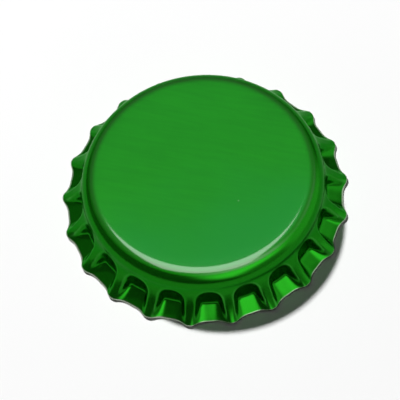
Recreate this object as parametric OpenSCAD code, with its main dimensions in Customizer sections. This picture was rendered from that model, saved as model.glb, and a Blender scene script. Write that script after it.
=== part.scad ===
/* [Cap] */
// Inside diameter of the straight wall
bore_d = 26.64; // [20:0.02:40]
// Height from the lowest edge to the top panel
cap_h = 5.95; // [4.5:0.05:10]
// Sheet thickness
sheet_t = 0.235; // [0.15:0.005:0.5]
// Outside radius of the rounded shoulder
shoulder_r = 1.95; // [1:0.05:2.5]
// Length of the straight wall between shoulder and flare
wall_h = 0.42; // [0.2:0.02:1]

/* [Skirt] */
// Number of flutes round the skirt
flutes = 21; // [15:1:27]
// How far the flute tips stand out from the wall
flare = 2.6; // [1.6:0.05:4]
// How far the ridges sag below a straight line from wall to tip
flare_sag = 0.2; // [0.05:0.01:0.4]
// How far the hollows reach in from the tips at the edge
flute_depth = 0.78; // [0.4:0.01:1.4]
// Width of each hollow, as a share of the pitch
hollow_share = 0.62; // [0.5:0.01:0.68]
// How far below the start of the flare the hollows end
hollow_drop = 0.17; // [0.05:0.01:0.4]
// How far the hollows' lips lean out from upright
lip_a = 55; // [50:1:60]
// Outside radius of the bend between wall and lip
lip_bend = 0.85; // [0.5:0.05:1.1]
// Height of the flute tips above the lowest edge
tip_lift = 0.27; // [0.05:0.01:0.6]

/* [Liner] */
// Gap between the liner's edge and the wall
liner_gap = 0.8; // [0.4:0.05:2]
// Gap between the liner's top corner and the shoulder
corner_gap = 0.04; // [0.02:0.01:0.2]
// Thickness of the thin disc in the middle
liner_film = 0.3; // [0.15:0.01:0.6]
// Width of the raised sealing ring
ring_w = 2.6; // [1.5:0.1:4]
// Height of the sealing ring under the top panel
ring_h = 0.95; // [0.7:0.01:1.4]
// Radius of the ring's two sealing lips
lip_r = 0.3; // [0.15:0.01:0.4]

/* [Hidden] */
$fn = 168;
hair = 0.002;
wall_r = bore_d / 2 + sheet_t;
tip_r = wall_r + flare;
valley_r = tip_r - flute_depth;
corner_r = wall_r - shoulder_r;
panel_z_in = cap_h - sheet_t;
shoulder_z = cap_h - shoulder_r;
flare_z = shoulder_z - wall_h;
flare_h = flare_z - tip_lift;
far = 4 * tip_r;
// The ridges follow an arc whose centre lies outside the skirt.
flare_l = norm([flare, flare_h]);
flare_arc_r = (flare_l * flare_l / 4 + flare_sag * flare_sag) / (2 * flare_sag);
flare_arc_off = flare_arc_r - flare_sag;
flare_arc_x = wall_r + flare / 2 + flare_arc_off * flare_h / flare_l;
flare_arc_z = flare_z - flare_h / 2 + flare_arc_off * flare / flare_l;
// In the hollows the wall runs on down to a bend and a straight lip.
bend_x = wall_r + lip_bend;
bend_z = (valley_r - wall_r) / tan(lip_a) + lip_bend * tan(lip_a / 2);
// A hollow's sides point to the axis, and its rounded top ends just under the start of the flare.
hollow_a = hollow_share * 180 / flutes;
arch_z = flare_z - hollow_drop - wall_r * tan(hollow_a);
// The sheared edge is a shallow cone that starts at the hollows' inside edge.
edge_r = valley_r - sheet_t / cos(lip_a);
edge_slope = tip_lift / (tip_r - edge_r);
liner_r = bore_d / 2 - liner_gap;
liner_corner_r = shoulder_r - sheet_t - corner_gap;
ring_z = panel_z_in - ring_h;
ring_in_r = liner_r - ring_w;

shell();
liner();

// Pressed sheet: the fluted outer form less the same form one sheet thickness in, sheared at the edge.
module shell() {
    color([0.07, 0.45, 0.09])
    difference() {
        form(0);
        form(sheet_t);
        rotate_extrude() edge_profile();
    }
}

// A plain core with the ridges on it, which are what the hollows leave of a flared ring.
module form(inset) {
    union() {
        rotate_extrude() core_profile(inset);
        difference() {
            rotate_extrude() ridge_profile(inset);
            hollows(inset);
        }
    }
}

// Panel, shoulder and wall, then the bend and the lip, run on below the edge.
module core_profile(inset) {
    bend_r = lip_bend + inset;
    low = [bend_x - bend_r * cos(lip_a), bend_z - bend_r * sin(lip_a)];
    end = low + 2 * flare * [sin(lip_a), -cos(lip_a)];
    difference() {
        intersection() {
            polygon([
                [0, cap_h - inset],
                [wall_r - inset, cap_h - inset],
                [wall_r - inset, bend_z],
                low,
                end,
                [0, end[1]]
            ]);
            shoulder_mask(shoulder_r - inset);
        }
        translate([bend_x, bend_z]) circle(r = bend_r - hair);
    }
}

// The flared ring, from inside the core out to the ridges' arc.
module ridge_profile(inset) {
    difference() {
        translate([corner_r, -flare]) square([tip_r, shoulder_z - inset + flare]);
        translate([flare_arc_x, flare_arc_z]) circle(r = flare_arc_r + inset);
    }
}

// Everything below the sheared edge.
module edge_profile() {
    polygon([
        [0, -edge_r * edge_slope],
        [far, (far - edge_r) * edge_slope],
        [far, -far],
        [0, -far]
    ]);
}

// Keeps what lies under a rounded shoulder, whose circle stands a hair proud of panel and wall.
module shoulder_mask(r) {
    union() {
        translate([0, shoulder_z - far]) square([corner_r, 2 * far]);
        translate([0, shoulder_z - far]) square([far, far]);
        translate([corner_r, shoulder_z]) circle(r = r + hair);
    }
}

// Hollows half a pitch from the tips: a wedge, with a cone a hair proud of it for the rounded top.
module hollows(inset) {
    long = 2 * tip_r;
    near = inset / cos(hollow_a);
    wide = near + long * tan(hollow_a);
    for (i = [0 : flutes - 1])
        rotate([0, 0, (i + 0.5) * 360 / flutes])
            translate([0, 0, arch_z])
                union() {
                    translate([0, 0, -far])
                        linear_extrude(far)
                            polygon([[0, -near], [long, -wide], [long, wide], [0, near]]);
                    rotate([0, 90, 0]) cylinder(h = long, r1 = near, r2 = wide + hair);
                }
}

// Moulded seal: a thin disc against the panel with a two-lipped ring at its edge.
module liner() {
    color([0.86, 0.87, 0.84])
    rotate_extrude() liner_profile();
}

module liner_profile() {
    union() {
        intersection() {
            union() {
                translate([0, panel_z_in - liner_film]) square([liner_r, liner_film]);
                translate([ring_in_r, ring_z + lip_r]) square([ring_w, ring_h - lip_r]);
            }
            shoulder_mask(liner_corner_r);
        }
        translate([ring_in_r + lip_r, ring_z + lip_r]) circle(r = lip_r);
        translate([liner_r - lip_r, ring_z + lip_r]) circle(r = lip_r);
    }
}
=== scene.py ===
import math

import bpy
import numpy as np
from mathutils import Matrix, Vector


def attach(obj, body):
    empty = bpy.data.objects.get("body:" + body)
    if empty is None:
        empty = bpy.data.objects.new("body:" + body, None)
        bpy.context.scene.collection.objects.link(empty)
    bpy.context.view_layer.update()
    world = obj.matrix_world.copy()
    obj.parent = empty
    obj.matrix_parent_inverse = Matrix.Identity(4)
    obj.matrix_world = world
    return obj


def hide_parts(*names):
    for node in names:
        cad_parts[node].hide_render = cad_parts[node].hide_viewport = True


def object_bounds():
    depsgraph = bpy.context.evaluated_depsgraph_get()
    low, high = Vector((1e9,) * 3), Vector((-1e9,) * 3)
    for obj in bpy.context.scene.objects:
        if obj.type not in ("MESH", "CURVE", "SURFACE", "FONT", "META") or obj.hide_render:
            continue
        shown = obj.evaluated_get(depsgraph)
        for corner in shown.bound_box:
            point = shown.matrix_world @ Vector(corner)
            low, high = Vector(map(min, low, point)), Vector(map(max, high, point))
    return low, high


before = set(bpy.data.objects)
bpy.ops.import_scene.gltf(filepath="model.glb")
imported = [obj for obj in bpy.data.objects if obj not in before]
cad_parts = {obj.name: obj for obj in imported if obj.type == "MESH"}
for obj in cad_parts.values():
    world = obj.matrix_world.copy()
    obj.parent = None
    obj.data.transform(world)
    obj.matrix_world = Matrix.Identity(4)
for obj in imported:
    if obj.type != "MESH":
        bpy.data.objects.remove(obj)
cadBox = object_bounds()
mm = 0.001
scene = bpy.context.scene
scene.view_settings.view_transform = "Standard"
print("frame loaded, nodes", sorted(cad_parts))


class Wire:
    # one socket of a shader: sums and products of wires add Math nodes

    def __init__(self, tree, socket=None):
        self.tree = tree
        self.socket = socket

    def make(self, kind, settings=None, inputs=None, out=0):
        node = self.tree.nodes.new(kind)
        for key, value in (settings or {}).items():
            setattr(node, key, value)
        for key, value in (inputs or {}).items():
            if isinstance(value, Wire):
                self.tree.links.new(value.socket, node.inputs[key])
            else:
                node.inputs[key].default_value = value
        return Wire(self.tree, node.outputs[out] if len(node.outputs) else None)

    def maths(self, operation, first, second):
        return self.make("ShaderNodeMath", {"operation": operation}, {0: first, 1: second})

    def __add__(self, other):
        return self.maths("ADD", self, other)

    def __radd__(self, other):
        return self.maths("ADD", other, self)

    def __sub__(self, other):
        return self.maths("SUBTRACT", self, other)

    def __rsub__(self, other):
        return self.maths("SUBTRACT", other, self)

    def __mul__(self, other):
        return self.maths("MULTIPLY", self, other)

    def __rmul__(self, other):
        return self.maths("MULTIPLY", other, self)

    def smooth(self, low, high):  # eases from 0 to 1 as this wire goes from low to high
        return self.make("ShaderNodeMapRange", {"interpolation_type": "SMOOTHSTEP"},
                         {0: self, 1: low, 2: high})

    def blend(self, first, second):  # colour mix with this wire as its factor
        return self.make("ShaderNodeMix", {"data_type": "RGBA"}, {0: self, 6: first, 7: second}, 2)


def newMaterial(name):
    material = bpy.data.materials.new(name)
    material.use_nodes = True
    material.node_tree.nodes.clear()
    return material, Wire(material.node_tree)


# object coordinates in mm, turned about the axis and then stretched
def inMillimetres(start, stretch=(1, 1, 1), turn=0.0):
    spot = start.make("ShaderNodeTexCoord", out="Object")
    scale = tuple(1 / mm * part for part in stretch)
    turned = start.make("ShaderNodeVectorRotate", {"rotation_type": "Z_AXIS"},
                        {"Vector": spot, "Angle": turn})
    return start.make("ShaderNodeVectorMath", {"operation": "MULTIPLY"}, {0: turned, 1: scale})


def noise(start, spot, scale, detail=2.0):
    return start.make("ShaderNodeTexNoise", None, {"Vector": spot, "Scale": scale, "Detail": detail}, "Fac")


def readAttribute(start, name):
    return start.make("ShaderNodeAttribute", {"attribute_name": name}, out="Fac")


def bumpNormal(start, relief):  # relief in mm
    return start.make("ShaderNodeBump", None, {"Strength": 1.0, "Distance": mm, "Height": relief}, "Normal")


def finishMaterial(start, surface):
    start.make("ShaderNodeOutputMaterial", None, {"Surface": surface})


# rings of points round the axis: each ring joins the next, and one point closes each end
def putRings(name, rings, firstPole, lastPole):
    ringCount, colCount = rings.shape[:2]
    points = np.vstack([rings.reshape(-1, 3), [firstPole], [lastPole]]) * mm
    row, col = np.mgrid[0:ringCount - 1, 0:colCount]
    after = (col + 1) % colCount
    quads = np.stack([row * colCount + col, (row + 1) * colCount + col,
                      (row + 1) * colCount + after, row * colCount + after], -1).reshape(-1, 4)
    col, after, last = col[0], after[0], (ringCount - 1) * colCount
    firstFan = np.stack([np.full(colCount, len(points) - 2), col, after], -1)
    lastFan = np.stack([np.full(colCount, len(points) - 1), last + after, last + col], -1)
    mesh = bpy.data.meshes.new(name)
    mesh.from_pydata(points.tolist(), [], quads.tolist() + firstFan.tolist() + lastFan.tolist())
    mesh.shade_smooth()
    piece = bpy.data.objects.new(name, mesh)
    scene.collection.objects.link(piece)
    return piece


def putAttribute(piece, name, values, poleValues):
    layer = piece.data.attributes.new(name, "FLOAT", "POINT")
    layer.data.foreach_set("value", np.append(values.ravel(), poleValues).astype(np.float32))


# a field of rows read between its rows: linear along the first axis, one place per column
def readRows(field, place):
    low = np.clip(np.floor(place).astype(int), 0, len(field) - 2)
    col = np.arange(field.shape[1])
    share = (place - low).reshape(place.shape + (1,) * (field.ndim - 2))
    return field[low, col] * (1 - share) + field[low + 1, col] * share


# first row of each column at which the values rise past zero, in parts of a row
def crossing(values):
    after = np.argmax(values > 0, axis=0)
    col = np.arange(values.shape[1])
    low, high = values[after - 1, col], values[after, col]
    return after - 1 - low / (high - low)


# pressed sheet with its fluted skirt, sizes in mm
shellSize = {
    "boreD": 26.64,
    "height": 5.95,
    "sheet": 0.235,
    "shoulderR": 1.95,
    "wallH": 0.42,
    "wallLean": 7.0,       # degrees by which the wall still leans where the shoulder ends
    "wallFade": 0.7,       # and the height over which that dies out
    "flutes": 21,
    "flare": 2.6,
    "flareSag": 0.2,
    "flareSoft": 0.60,     # the wall turns into the flare over this much each way
    "fluteDepth": 0.41,
    "lipAngle": 60.0,      # the hollows' lips lean out this far from upright
    "lipBend": 0.60,
    "lipCurl": 0.5,        # the lips flatten towards the cut edge below this height
    "curlZ": 0.5,
    "hollowPower": 1.5,    # how broad the hollows' floors are beside the ridges
    "steepness": 2.2,      # the hollows' sides are this much steeper than at the edge
    "steepZ": 1.5,         # from this height up
    "archZ": 2.3,          # below this the hollows' sides run straight
    "foldShare": 0.90,     # a painted highlight lines the folds where the blend has this value
    "foldWide": 0.08,
    "tipLift": 0.27,
    "edgeLift": 0.03,      # the rounded edge stays above the floor
    "edgeBulge": 0.025,
    "burr": (0.4, 0.9),    # how bare the last two rows above the edge are
    "fieldEnd": -0.4,      # the skirt is worked out down to here, then cut
    "colsPerFlute": 36,
    "fieldRows": 240,
    "skirtRows": 44,
    "shoulderRows": 14,
    "panelRows": 9,
    "innerSkirtRows": 30,
    "innerShoulderRows": 8,
    "innerPanelRows": 5,
    "edgeRows": 3,
}


# skirt radius over height and angle, a blend of two lines: the hollows' line is the wall, a bend and a lip
# that flattens by a square towards the edge, and the ridges' line adds the flare's arc to the wall;
# the blend is the squared sine of a power of the distance from an arch's middle, steeper above the edge
def skirtRadius(s, height, angle):
    wallR = s["boreD"] / 2 + s["sheet"]
    tipR = wallR + s["flare"]
    flareZ = s["height"] - s["shoulderR"] - s["wallH"]
    flareH = flareZ - s["tipLift"]
    chord = math.hypot(s["flare"], flareH)
    arcR = (chord * chord / 4 + s["flareSag"] ** 2) / (2 * s["flareSag"])
    arcOff = arcR - s["flareSag"]
    arcX = wallR + s["flare"] / 2 + arcOff * flareH / chord
    arcZ = flareZ - flareH / 2 + arcOff * s["flare"] / chord
    below, soft = flareZ - height, s["flareSoft"]
    below = np.where(np.abs(below) < soft, (below + soft) ** 2 / (4 * soft), np.maximum(below, 0))
    lean = math.radians(s["wallLean"])
    wall = wallR - s["shoulderR"] * (1 - math.cos(lean)) + math.tan(lean) * s["wallFade"] * (
        1 - np.exp((height - shoulderEnd(s)) / s["wallFade"]))
    spread = wall[-1, 0] - wallR
    flareOut = arcX - np.sqrt(arcR ** 2 - (flareZ - below - arcZ) ** 2) - wallR
    ridge = wall + flareOut * (1 - spread / s["flare"])
    lip, bend = math.radians(s["lipAngle"]), s["lipBend"]
    valleyR = tipR - s["fluteDepth"]
    lipEndZ = s["tipLift"] / 4  # about where the hollows' lips are cut
    lipR = valleyR - s["lipCurl"] * (s["curlZ"] - lipEndZ) ** 2 - spread
    bendZ = (lipR - wallR) / math.tan(lip) + bend * math.tan(lip / 2)
    past = np.maximum(bendZ - height, 0)
    turned = np.minimum(past, bend * math.sin(lip))
    hollow = wall + bend - np.sqrt(bend ** 2 - turned ** 2) + (past - turned) * math.tan(lip)
    hollow = hollow + s["lipCurl"] * np.maximum(s["curlZ"] - height, 0) ** 2
    pitch = math.tau / s["flutes"]
    middle = (ridge + hollow) / 2
    aside = (np.mod(angle, pitch) - pitch / 2) * middle
    reach = np.hypot(aside, np.maximum(height - s["archZ"], 0)) / (middle * pitch / 2)
    share = np.sin(math.pi / 2 * np.minimum(reach, 1) ** s["hollowPower"]) ** 2
    steep = 1 + (s["steepness"] - 1) * np.clip(height / s["steepZ"], 0, 1)
    share = share ** steep / (share ** steep + (1 - share) ** steep)
    edgeR = valleyR - s["sheet"] / math.cos(lip)
    return hollow + (ridge - hollow) * share, share, edgeR, s["tipLift"] / (tipR - edgeR)


def shoulderEnd(s):  # height at which the shoulder's arc has turned down as far as the wall leans
    return s["height"] - s["shoulderR"] * (1 - math.sin(math.radians(s["wallLean"])))


def aroundAxis(radius, height, angle):
    radius, height, angle = np.broadcast_arrays(radius, height, angle)
    return np.stack([radius * np.cos(angle), radius * np.sin(angle), height], -1)


# shell surface: panel, round shoulder and fluted skirt, then over the cut edge and back one sheet inside
def makeShell(s):
    angle = np.arange(s["flutes"] * s["colsPerFlute"]) * math.tau / (s["flutes"] * s["colsPerFlute"])
    shoulderZ = s["height"] - s["shoulderR"]
    cornerR = s["boreD"] / 2 + s["sheet"] - s["shoulderR"]
    height = np.linspace(shoulderEnd(s), s["fieldEnd"], s["fieldRows"])
    radius, share, edgeR, edgeSlope = skirtRadius(s, height[:, None], angle[None, :])
    outer = aroundAxis(radius, height[:, None], angle)
    # the normal of r(height, angle) is out along r, less its slopes along the angle and the height
    alongAngle = (np.roll(radius, -1, 1) - np.roll(radius, 1, 1)) / (2 * angle[1]) / radius
    alongHeight = np.gradient(radius, height, axis=0)
    normal = np.stack([np.cos(angle) + alongAngle * np.sin(angle),
                       np.sin(angle) - alongAngle * np.cos(angle), -alongHeight], -1)
    normal /= np.linalg.norm(normal, axis=-1, keepdims=True)
    inner = outer - s["sheet"] * normal

    def underEdge(points):  # positive below the sheared edge's cone
        coneZ = (np.hypot(points[..., 0], points[..., 1]) - edgeR) * edgeSlope + s["edgeLift"]
        return coneZ - points[..., 2]

    def skirtRows(field, count):  # rows run from the shoulder down to the edge
        return readRows(field, np.linspace(0, 1, count)[:, None] * crossing(underEdge(field)))

    def shoulderRows(roundR, count):  # arc from the panel down to the wall
        tilt = np.linspace(0, math.pi / 2 - math.radians(s["wallLean"]), count, endpoint=False)[:, None]
        return aroundAxis(cornerR + roundR * np.sin(tilt), shoulderZ + roundR * np.cos(tilt), angle)

    def panelRows(level, count):
        return aroundAxis(cornerR * np.linspace(0, 1, count + 1)[1:, None], level, angle)[:-1]

    # the sheet folds where the hollows' sides turn over into the ridges, and a painted highlight lines
    # these folds
    fold = readRows(np.clip(1 - np.abs(share - s["foldShare"]) / s["foldWide"], 0, 1),
                    np.linspace(0, 1, s["skirtRows"])[:, None] * crossing(underEdge(outer)))
    outside = np.concatenate([panelRows(s["height"], s["panelRows"]),
                              shoulderRows(s["shoulderR"], s["shoulderRows"]),
                              skirtRows(outer, s["skirtRows"])])
    inside = np.concatenate([panelRows(s["height"] - s["sheet"], s["innerPanelRows"]),
                             shoulderRows(s["shoulderR"] - s["sheet"], s["innerShoulderRows"]),
                             skirtRows(inner, s["innerSkirtRows"])])[::-1]
    # the cut edge is a straight band from outside to inside, with a sine bulge along the skirt
    across = np.linspace(0, 1, s["edgeRows"] + 2)[1:-1, None, None]
    down = outside[-1] - outside[-2]
    down /= np.linalg.norm(down, axis=-1, keepdims=True)
    bulge = s["edgeBulge"] * np.sin(math.pi * across) * down
    edge = outside[-1] * (1 - across) + inside[0] * across + bulge
    rings = np.concatenate([outside, edge, inside])
    piece = putRings("capShell", rings, (0, 0, s["height"]), (0, 0, s["height"] - s["sheet"]))
    rowKind = np.repeat([0.0, 1.0, 0.0], [len(outside), len(edge), len(inside)])
    rowKind[len(outside) - 2:len(outside)] = s["burr"]  # turned up over the edge
    columns = np.ones(len(angle))
    putAttribute(piece, "cutEdge", rowKind[:, None] * columns, [0, 0])
    insideKind = np.repeat([0.0, 1.0], [len(outside) + len(edge), len(inside)])
    putAttribute(piece, "insideFace", insideKind[:, None] * columns, [0, 1])
    # how far the sheet was drawn, which also sets the painted shade: none on the panel, rising over the
    # shoulder, all of it below
    drawnAndShaded = np.clip((s["height"] - rings[..., 2]) / s["shoulderR"], 0, 1)
    putAttribute(piece, "drawnAndShaded", drawnAndShaded, [0, 0])
    # painted highlight band along the folds, set on the outer skirt rows
    paintedFoldHighlight = np.zeros(drawnAndShaded.shape)
    paintedFoldHighlight[len(outside) - s["skirtRows"]:len(outside)] = fold
    putAttribute(piece, "foldHighlightBand", paintedFoldHighlight, [0, 0])
    return piece


# transparent green lacquer over tinplate, with painted shade over the shoulder and skirt, a painted
# highlight on the folds and a painted bluish reflection towards the front
lacquer = {
    "green": (0.006, 0.258, 0.007, 1),
    "greenDeep": (0.004, 0.218, 0.006, 1),
    # a bluish green: random patches, plus a painted reflection that grows towards the front
    "greenBlue": (0.005, 0.230, 0.026, 1),
    # painted shade: a darker green from the panel's edge down over the shoulder and skirt
    "greenPaintedShade": (0.005, 0.155, 0.003, 1),
    # painted highlight: a paler green along the folds
    "greenFoldHighlight": (0.060, 0.330, 0.055, 1),
    "tin": (0.62, 0.60, 0.55, 1),
    "steel": (0.46, 0.50, 0.42, 1),
    "bareFrom": (0.35, 0.75),
    "metallic": 0.84,
    "roughness": 0.62,     # satin panel
    "grainRough": 0.10,
    "mottleRough": 0.05,
    "burnish": 0.42,       # how much smoother the drawn skirt is
    "specular": 0.1,
    "edgeTint": (0.25, 0.6, 0.25, 1),
    "coatIor": 1.6,
    "coatRoughness": 0.12,
    "coatLost": 0.96,      # share of the clear coat that is gone where it has crazed
    "paintedShadeOver": (0.0, 0.06),   # parts of the shoulder's height over which the painted shade darkens the colour, the clear coat crazes where the sheet bends and the die burnishes the rest
    "crazedOver": (0.04, 0.16),  # the clear coat crazes where the sheet bends
    "burnishedOver": (0.08, 0.2),  # and the die burnishes the rest
    "mottleScale": 0.17,
    "driftScale": 0.55,    # of the mottle's scale
    "grainTurn": 0.35,
    "grainStretch": (0.22, 2.6, 0.22),
    "grainShare": 0.65,    # of the streaks, the rest is mottle
    "grainHeight": 0.0012,
    "peelScale": 1.6,
    "peelHeight": 0.0030,
    "blueShare": 0.8,
    "blueSlope": 0.05,     # rise of the blue tint a millimetre towards the front, where it is a painted bluish reflection
    "blueOver": (0.35, 1.15),
    "foldHighlightShare": 0.55,          # painted highlight on the folds, in patches
    "foldHighlightOver": (0.3, 0.6),
    "dust": (0.30, 0.52, 0.30, 1),
    "dustShare": 0.5,
    "dustScale": 0.30,     # cells a millimetre
    "dustChosen": (0.62, 0.64),  # cells past this hold a speck
    "dustSize": 0.025,
    "dustFade": 1.6,       # a speck's outer edge, in sizes
}


def makeLacquer(k):
    material, start = newMaterial("greenLacquerOnTin")
    spot = inMillimetres(start)
    rolled = inMillimetres(start, k["grainStretch"], k["grainTurn"])
    mottle = noise(start, spot, k["mottleScale"], 3.0)
    drift = noise(start, spot, k["mottleScale"] * k["driftScale"], 1.0)
    grain = noise(start, rolled, 1.0, 3.0)
    peel = noise(start, spot, k["peelScale"], 1.0)
    bare = readAttribute(start, "cutEdge").smooth(*k["bareFrom"])
    within = readAttribute(start, "insideFace")
    # painted highlight along the folds
    paintedFoldHighlight = readAttribute(start, "foldHighlightBand")
    down = readAttribute(start, "drawnAndShaded")
    # painted shade: the colour darkens from the panel's edge down over the shoulder and skirt
    drawnAndShaded = down.smooth(*k["paintedShadeOver"])
    crazed = down.smooth(*k["crazedOver"])
    burnished = down.smooth(*k["burnishedOver"])

    # panel: streaks, then a blue tint in random patches, stronger towards the front as a painted
    # reflection, then specks
    streaks = (1 - k["grainShare"]) * mottle + k["grainShare"] * grain
    green = streaks.smooth(0.3, 0.7).blend(k["greenDeep"], k["green"])
    frontward = start.make("ShaderNodeSeparateXYZ", None, {"Vector": spot}, "Y")
    blue = (drift - k["blueSlope"] * frontward).smooth(*k["blueOver"])
    green = (k["blueShare"] * blue).blend(green, k["greenBlue"])
    cell = {"Vector": spot, "Scale": k["dustScale"]}
    chosen = start.make("ShaderNodeTexVoronoi", None, cell, "Color").smooth(*k["dustChosen"])
    away = start.make("ShaderNodeTexVoronoi", None, cell, "Distance")
    speck = away.smooth(k["dustSize"] * k["dustFade"], k["dustSize"])
    green = (k["dustShare"] * chosen * speck).blend(green, k["dust"])

    # skirt: painted shade over the shoulder and skirt, a painted highlight on the folds in patches, bare
    # inside and at the cut
    green = drawnAndShaded.blend(green, k["greenPaintedShade"])
    green = (k["foldHighlightShare"] * paintedFoldHighlight * mottle.smooth(*k["foldHighlightOver"])).blend(green, k["greenFoldHighlight"])
    colour = bare.blend(within.blend(green, k["tin"]), k["steel"])
    roughness = k["roughness"] + k["grainRough"] * (grain - 0.5) + k["mottleRough"] * (mottle - 0.5)
    relief = k["peelHeight"] * peel + k["grainHeight"] * grain
    finishMaterial(start, start.make("ShaderNodeBsdfPrincipled", None, {
        "Base Color": colour,
        "Metallic": k["metallic"] + (1 - k["metallic"]) * bare,
        "Roughness": roughness - k["burnish"] * burnished,
        "Normal": bumpNormal(start, relief),
        "Specular Tint": k["edgeTint"],
        "Specular IOR Level": k["specular"],
        "Coat Weight": (1.0 - k["coatLost"] * crazed) * (1.0 - bare),
        "Coat Roughness": k["coatRoughness"],
        "Coat IOR": k["coatIor"],
    }))
    return material


shell = makeShell(shellSize)
shell.data.materials.append(makeLacquer(lacquer))
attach(shell, "root")
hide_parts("shell")
print("shell made, faces", len(shell.data.polygons))


# moulded seal inside the panel, sizes in mm
linerSize = {
    "gap": 0.8,            # to the wall
    "film": 0.3,
    "filmR": 0.12,         # fillet where the film meets the ring
    "ringW": 2.6,
    "ringH": 0.95,
    "lipR": 0.3,
    "dishIn": 0.35,        # the dish between the lips starts this far past their middles
    "dishDrop": 0.02,
    "cornerR": 0.5,
    "filmRows": 14,
    "dishRows": 4,
    "topRows": 6,
    "arcRows": 12,
    "cols": 192,
}


# liner surface: a profile of flats and arcs carried round the axis
def makeLiner(s, around):
    angle = np.arange(s["cols"]) * math.tau / s["cols"]
    radius = around["boreD"] / 2 - s["gap"]
    top = around["height"] - around["sheet"]
    lipZ = top - s["ringH"] + s["lipR"]
    film = top - s["film"]
    ringIn = radius - s["ringW"]

    def arc(x, z, r, first, last):
        turn = np.radians(np.linspace(first, last, s["arcRows"]))
        return np.stack([x + r * np.cos(turn), z + r * np.sin(turn)], -1)

    def flat(x0, z0, x1, z1, count):
        share = np.linspace(0, 1, count + 2)[1:-1, None]
        return np.array([x0, z0]) * (1 - share) + np.array([x1, z1]) * share

    lip, fillet, corner = s["lipR"], s["filmR"], s["cornerR"]
    dishIn, dishZ = lip + s["dishIn"], lipZ - s["dishDrop"]
    # from the centre of the underside out over the two lips, up the edge and back along the top
    profile = np.concatenate([
        flat(0, film, ringIn - fillet, film, s["filmRows"]),
        arc(ringIn - fillet, film - fillet, fillet, 90, 0),
        arc(ringIn + lip, lipZ, lip, 180, 330),
        flat(ringIn + dishIn, dishZ, radius - dishIn, dishZ, s["dishRows"]),
        arc(radius - lip, lipZ, lip, 210, 360),
        arc(radius - corner, top - corner, corner, 0, 90),
        flat(radius - corner, top, 0, top, s["topRows"]),
    ])
    rings = aroundAxis(profile[:, :1], profile[:, 1:], angle)
    # the profile starts underneath, so the rings run the other way to face outwards
    return putRings("capLiner", rings[::-1], (0, 0, top), (0, 0, film))


# milky satin sealing compound
compound = {
    "pale": (0.80, 0.81, 0.78, 1),
    "shade": (0.70, 0.72, 0.68, 1),
    "roughness": 0.42,
    "roughSpread": 0.12,
    "cloudScale": 0.5,
    "fineScale": 6.0,
    "fineHeight": 0.006,
    "turningScale": 0.8,   # faint rings left by the mould
    "turningWaver": 0.3,
    "turningHeight": 0.004,
    "glow": 0.25,          # light let through, and how deep it goes in mm
    "glowDepth": 0.4,
    "glowColour": (1, 1, 0.9),
}


def makeCompound(k):
    material, start = newMaterial("sealingCompound")
    spot = inMillimetres(start)
    cloud = noise(start, spot, k["cloudScale"], 3.0)
    fine = noise(start, spot, k["fineScale"], 2.0)
    turning = start.make("ShaderNodeTexWave", {"wave_type": "RINGS", "rings_direction": "Z"}, {
        "Vector": spot, "Scale": k["turningScale"], "Distortion": k["turningWaver"]}, "Fac")
    relief = k["fineHeight"] * fine + k["turningHeight"] * turning
    finishMaterial(start, start.make("ShaderNodeBsdfPrincipled", None, {
        "Base Color": cloud.smooth(0.3, 0.7).blend(k["shade"], k["pale"]),
        "Roughness": k["roughness"] + k["roughSpread"] * (fine - 0.5),
        "Normal": bumpNormal(start, relief),
        "Subsurface Weight": k["glow"],
        "Subsurface Radius": k["glowColour"],
        "Subsurface Scale": k["glowDepth"] * mm,
    }))
    return material


liner = makeLiner(linerSize, shellSize)
liner.data.materials.append(makeCompound(compound))
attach(liner, "root")
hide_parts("liner")
print("liner made, faces", len(liner.data.polygons))


# white table top
floorLook = {
    "half": 1.5,           # metres
    "white": (0.93, 0.93, 0.93, 1),
    "grey": (0.90, 0.90, 0.90, 1),
    "patchScale": 0.02,
    "roughness": 0.9,
    "specular": 0.1,
}


def makeFloor(k):
    half, level = k["half"], cadBox[0].z
    mesh = bpy.data.meshes.new("tableTop")
    corners = [(-half, -half, level), (half, -half, level), (half, half, level), (-half, half, level)]
    mesh.from_pydata(corners, [], [(0, 1, 2, 3)])
    floor = bpy.data.objects.new("tableTop", mesh)
    scene.collection.objects.link(floor)
    material, start = newMaterial("whiteTable")
    colour = noise(start, inMillimetres(start), k["patchScale"]).blend(k["grey"], k["white"])
    finishMaterial(start, start.make("ShaderNodeBsdfPrincipled", None, {
        "Base Color": colour, "Roughness": k["roughness"], "Specular IOR Level": k["specular"]}))
    mesh.materials.append(material)


# lamps in metres from the cap: a card overhead that only shines in the lacquer, and two for matt surfaces
lamps = {
    "overheadCard": {
        "place": (-0.05, 0.016, 0.60), "size": (0.44, 0.412), "bright": 4.8, "lights": "gloss"},
    "backLeftLamp": {
        "place": (-0.526, 1.030, 1.380), "size": (0.14, 0.14), "bright": 690.0, "lights": "diffuse"},
    "fillLamp": {
        "place": (0.0, 0.0, 1.2), "size": (0.9, 0.9), "bright": 0.30, "lights": "diffuse"},
}


def makeLamps(table):
    for name, k in table.items():
        place = Vector(k["place"])
        light = bpy.data.lights.new(name, "AREA")
        light.shape = "RECTANGLE"
        light.size, light.size_y = k["size"]
        light.energy = k["bright"] * math.pi * k["size"][0] * k["size"][1]
        lamp = bpy.data.objects.new(name, light)
        lamp.location = place
        if k["lights"] == "diffuse":
            lamp.rotation_euler = place.to_track_quat("Z", "Y").to_euler()
        lamp.visible_glossy = k["lights"] == "gloss"
        lamp.visible_diffuse = k["lights"] == "diffuse"
        scene.collection.objects.link(lamp)


# room: dim, with soft pale patches, each by its turn from the camera's right and its rise in degrees,
# its brightness, and the cosines from its middle at which it fades in and is full
room = {
    "dim": 0.16,
    "patches": {
        "backWall": {"turn": 110, "rise": 52, "bright": 0.20, "spread": (0.35, 0.95)},
        "rightWindow": {"turn": -62, "rise": 44, "bright": 3.6, "spread": (0.80, 0.97)},
        "rightWall": {"turn": -5, "rise": 16, "bright": 1.5, "spread": (0.74, 0.96)},
        "lowRight": {"turn": -52, "rise": 16, "bright": 0.6, "spread": (0.90, 0.99)},
    },
}


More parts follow.
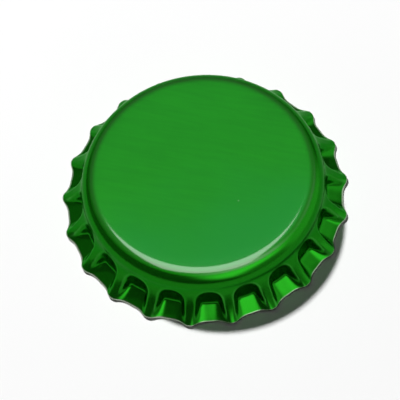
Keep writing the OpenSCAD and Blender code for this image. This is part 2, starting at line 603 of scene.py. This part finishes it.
def makeRoom(k):
    world = bpy.data.worlds.new("paleRoom")
    world.use_nodes = True
    world.node_tree.nodes.clear()
    start = Wire(world.node_tree)
    way = start.make("ShaderNodeTexCoord", out="Generated")
    colour = (k["dim"], k["dim"], k["dim"], 1)
    for patch in k["patches"].values():
        turn, rise = math.radians(patch["turn"]), math.radians(patch["rise"])
        toward = (math.cos(turn) * math.cos(rise), math.sin(turn) * math.cos(rise), math.sin(rise))
        facing = start.make("ShaderNodeVectorMath", {"operation": "DOT_PRODUCT"},
                            {0: way, 1: toward}, "Value")
        colour = facing.smooth(*patch["spread"]).blend(colour, (patch["bright"],) * 3 + (1,))
    start.make("ShaderNodeOutputWorld", None, {
        "Surface": start.make("ShaderNodeBackground", None, {"Color": colour, "Strength": 1.0})})
    scene.world = world
    world.cycles_visibility.diffuse = False  # the lamps alone light the table, so its shadow stays plain


makeFloor(floorLook)
makeLamps(lamps)
makeRoom(room)
print("floor, lamps and room made")


# camera of the photograph: angles in degrees, lengths in mm, picture in pixels
view = {
    "elevation": 61.21,
    "turn": 0.26,
    "roll": -7.84,
    "away": 282.4,
    "scale": 8.885,          # pixels a millimetre at the cap
    "offset": (5.03, 2.48),  # the cap's axis is this far right of and above the picture's middle
    "axisZ": 0.27,
    "picture": 400,
    "sensor": 36.0,
    "clipStart": 0.01,       # metres
}


def makeCamera(k):
    elevation, turn, roll = (math.radians(k[name]) for name in ("elevation", "turn", "roll"))
    spin = Matrix.Rotation(turn, 3, "Z")
    back = spin @ Vector((0, -math.cos(elevation), math.sin(elevation)))
    right = spin @ Vector((1, 0, 0))
    up = back.cross(right)
    across = right * math.cos(roll) + up * math.sin(roll)
    upright = up * math.cos(roll) - right * math.sin(roll)
    place = Vector((0, 0, k["axisZ"])) + back * k["away"]
    place -= (across * k["offset"][0] + upright * k["offset"][1]) / k["scale"]
    camera = bpy.data.objects.new("photoCamera", bpy.data.cameras.new("photoCamera"))
    camera.data.sensor_fit = "HORIZONTAL"
    camera.data.sensor_width = k["sensor"]
    camera.data.lens = k["scale"] * k["away"] * k["sensor"] / k["picture"]
    camera.data.clip_start = k["clipStart"]
    turned = Matrix((across, upright, back)).transposed().to_4x4()
    camera.matrix_world = Matrix.Translation(place * mm) @ turned
    scene.collection.objects.link(camera)
    scene.camera = camera


makeCamera(view)
print("camera made")

bpy.context.view_layer.update()
